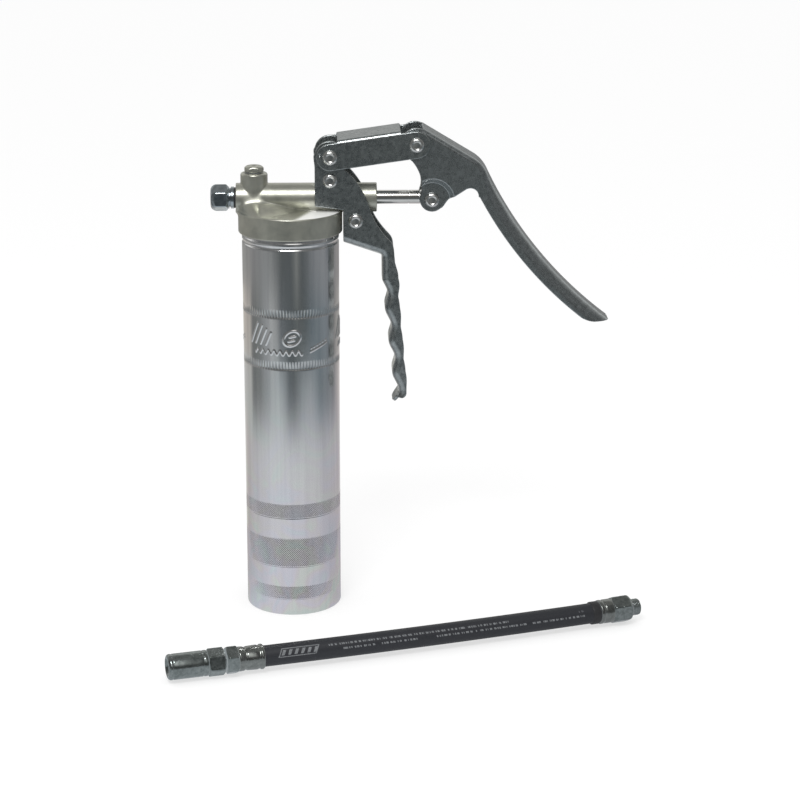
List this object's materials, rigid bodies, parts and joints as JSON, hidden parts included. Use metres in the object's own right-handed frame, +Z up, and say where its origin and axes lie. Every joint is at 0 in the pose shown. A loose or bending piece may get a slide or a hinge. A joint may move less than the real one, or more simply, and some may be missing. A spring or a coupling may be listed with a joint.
{
  "type": "grease gun",
  "caption": "Hand lever grease gun with a screw-on reservoir tube, a squeeze lever on a plunger pump, a fixed finger grip and a loose high-pressure hose with a nipple coupler.",
  "frame": {"origin": "centre of the reservoir tube's foot, in the plane on which the gun stands", "axes": "+Z up along the reservoir tube; +X towards the levers, along the pump barrel; +Y away from the side where the hose lies"},
  "size_m": [0.2756, 0.1597, 0.2888],
  "materials": {
    "bright_tube": "bright zinc plate, knurled bands",
    "cast_metal": "satin, die cast",
    "zinc_sheet": "dull zinc plate, slightly mottled",
    "rivet_metal": "bright plated",
    "polished_rod": "ground and polished",
    "blue_zinc": "bluish bright zinc plate",
    "spring_steel": "oiled spring wire",
    "inner_steel": "plain steel",
    "bush_brass": "machined",
    "black_rubber": "smooth extruded rubber",
    "seal_rubber": "moulded seal"
  },
  "bodies": {
    "gun": {"reservoir_tube": "bright_tube", "tube_base": "bright_tube", "head_gasket": "seal_rubber", "pump_head": "cast_metal", "outlet_connector": "blue_zinc", "outlet_seal": "seal_rubber", "check_spring": "spring_steel", "vent_plug": "rivet_metal", "vent_seal": "inner_steel", "plunger_seal": "seal_rubber", "seal_retainer": "inner_steel", "rod_guide": "bush_brass", "return_spring": "spring_steel", "handle_bracket": "zinc_sheet", "bracket_rivets": "rivet_metal", "link_rivet": "rivet_metal", "link_washers": "inner_steel", "follower_spring": "spring_steel"},
    "plunger": {"plunger_rod": "polished_rod", "rod_collar": "inner_steel", "lever_rivet": "rivet_metal"},
    "lever": {"squeeze_lever": "zinc_sheet"},
    "link": {"link_channel": "zinc_sheet", "link_lever_rivet": "rivet_metal"},
    "follower": {"follower_plate": "inner_steel", "follower_cup": "seal_rubber", "follower_rod": "inner_steel", "rod_nut": "inner_steel", "rod_knob": "inner_steel"},
    "valve_ball": {"check_ball": "polished_rod"},
    "hose": {"hose_cover": "black_rubber", "hose_braid": "inner_steel", "hose_liner": "black_rubber", "hose_collar": "black_rubber", "hose_ferrules": "blue_zinc", "gun_end_fitting": "blue_zinc", "coupler_end_fitting": "blue_zinc", "coupler_adaptor": "blue_zinc", "coupler_sleeve": "blue_zinc", "coupler_jaws": "inner_steel", "coupler_seal": "seal_rubber", "coupler_spring": "spring_steel"}
  },
  "joints": [
    {"name": "plunger_slide", "type": "slide", "parent": "gun", "child": "plunger", "axis": [-1, 0, 0], "range_m": [0, 0.0215], "stiffness_N_per_m": 600, "springref_m": -0.015, "deforming": ["return_spring"]},
    {"name": "lever_pivot", "type": "hinge", "parent": "plunger", "child": "lever", "pos_m": [0.0813, 0, 0.2468], "axis": [0, 1, 0], "range_deg": [0, 36]},
    {"name": "link_pivot", "type": "hinge", "parent": "gun", "child": "link", "pos_m": [0.023, 0, 0.2725], "axis": [0, 1, 0], "range_deg": [0, 1.2]},
    {"name": "follower_slide", "type": "slide", "parent": "gun", "child": "follower", "axis": [0, 0, -1], "range_m": [0, 0.165], "stiffness_N_per_m": 60, "springref_m": -0.08, "deforming": ["follower_spring"]},
    {"name": "valve_lift", "type": "slide", "parent": "gun", "child": "valve_ball", "axis": [-1, 0, 0], "range_m": [0, 0.001], "stiffness_N_per_m": 300, "springref_m": -0.002, "deforming": ["check_spring"]},
    {"name": "hose_lift", "type": "slide", "parent": "gun", "child": "hose", "axis": [0, 0, 1], "range_m": [0, 0.3]}
  ],
  "couplings": [
    {"joint": "plunger_slide", "follows": "lever_pivot", "m_per_rad": 0.033167},
    {"joint": "link_pivot", "follows": "lever_pivot", "ratio": 0.029052}
  ]
}
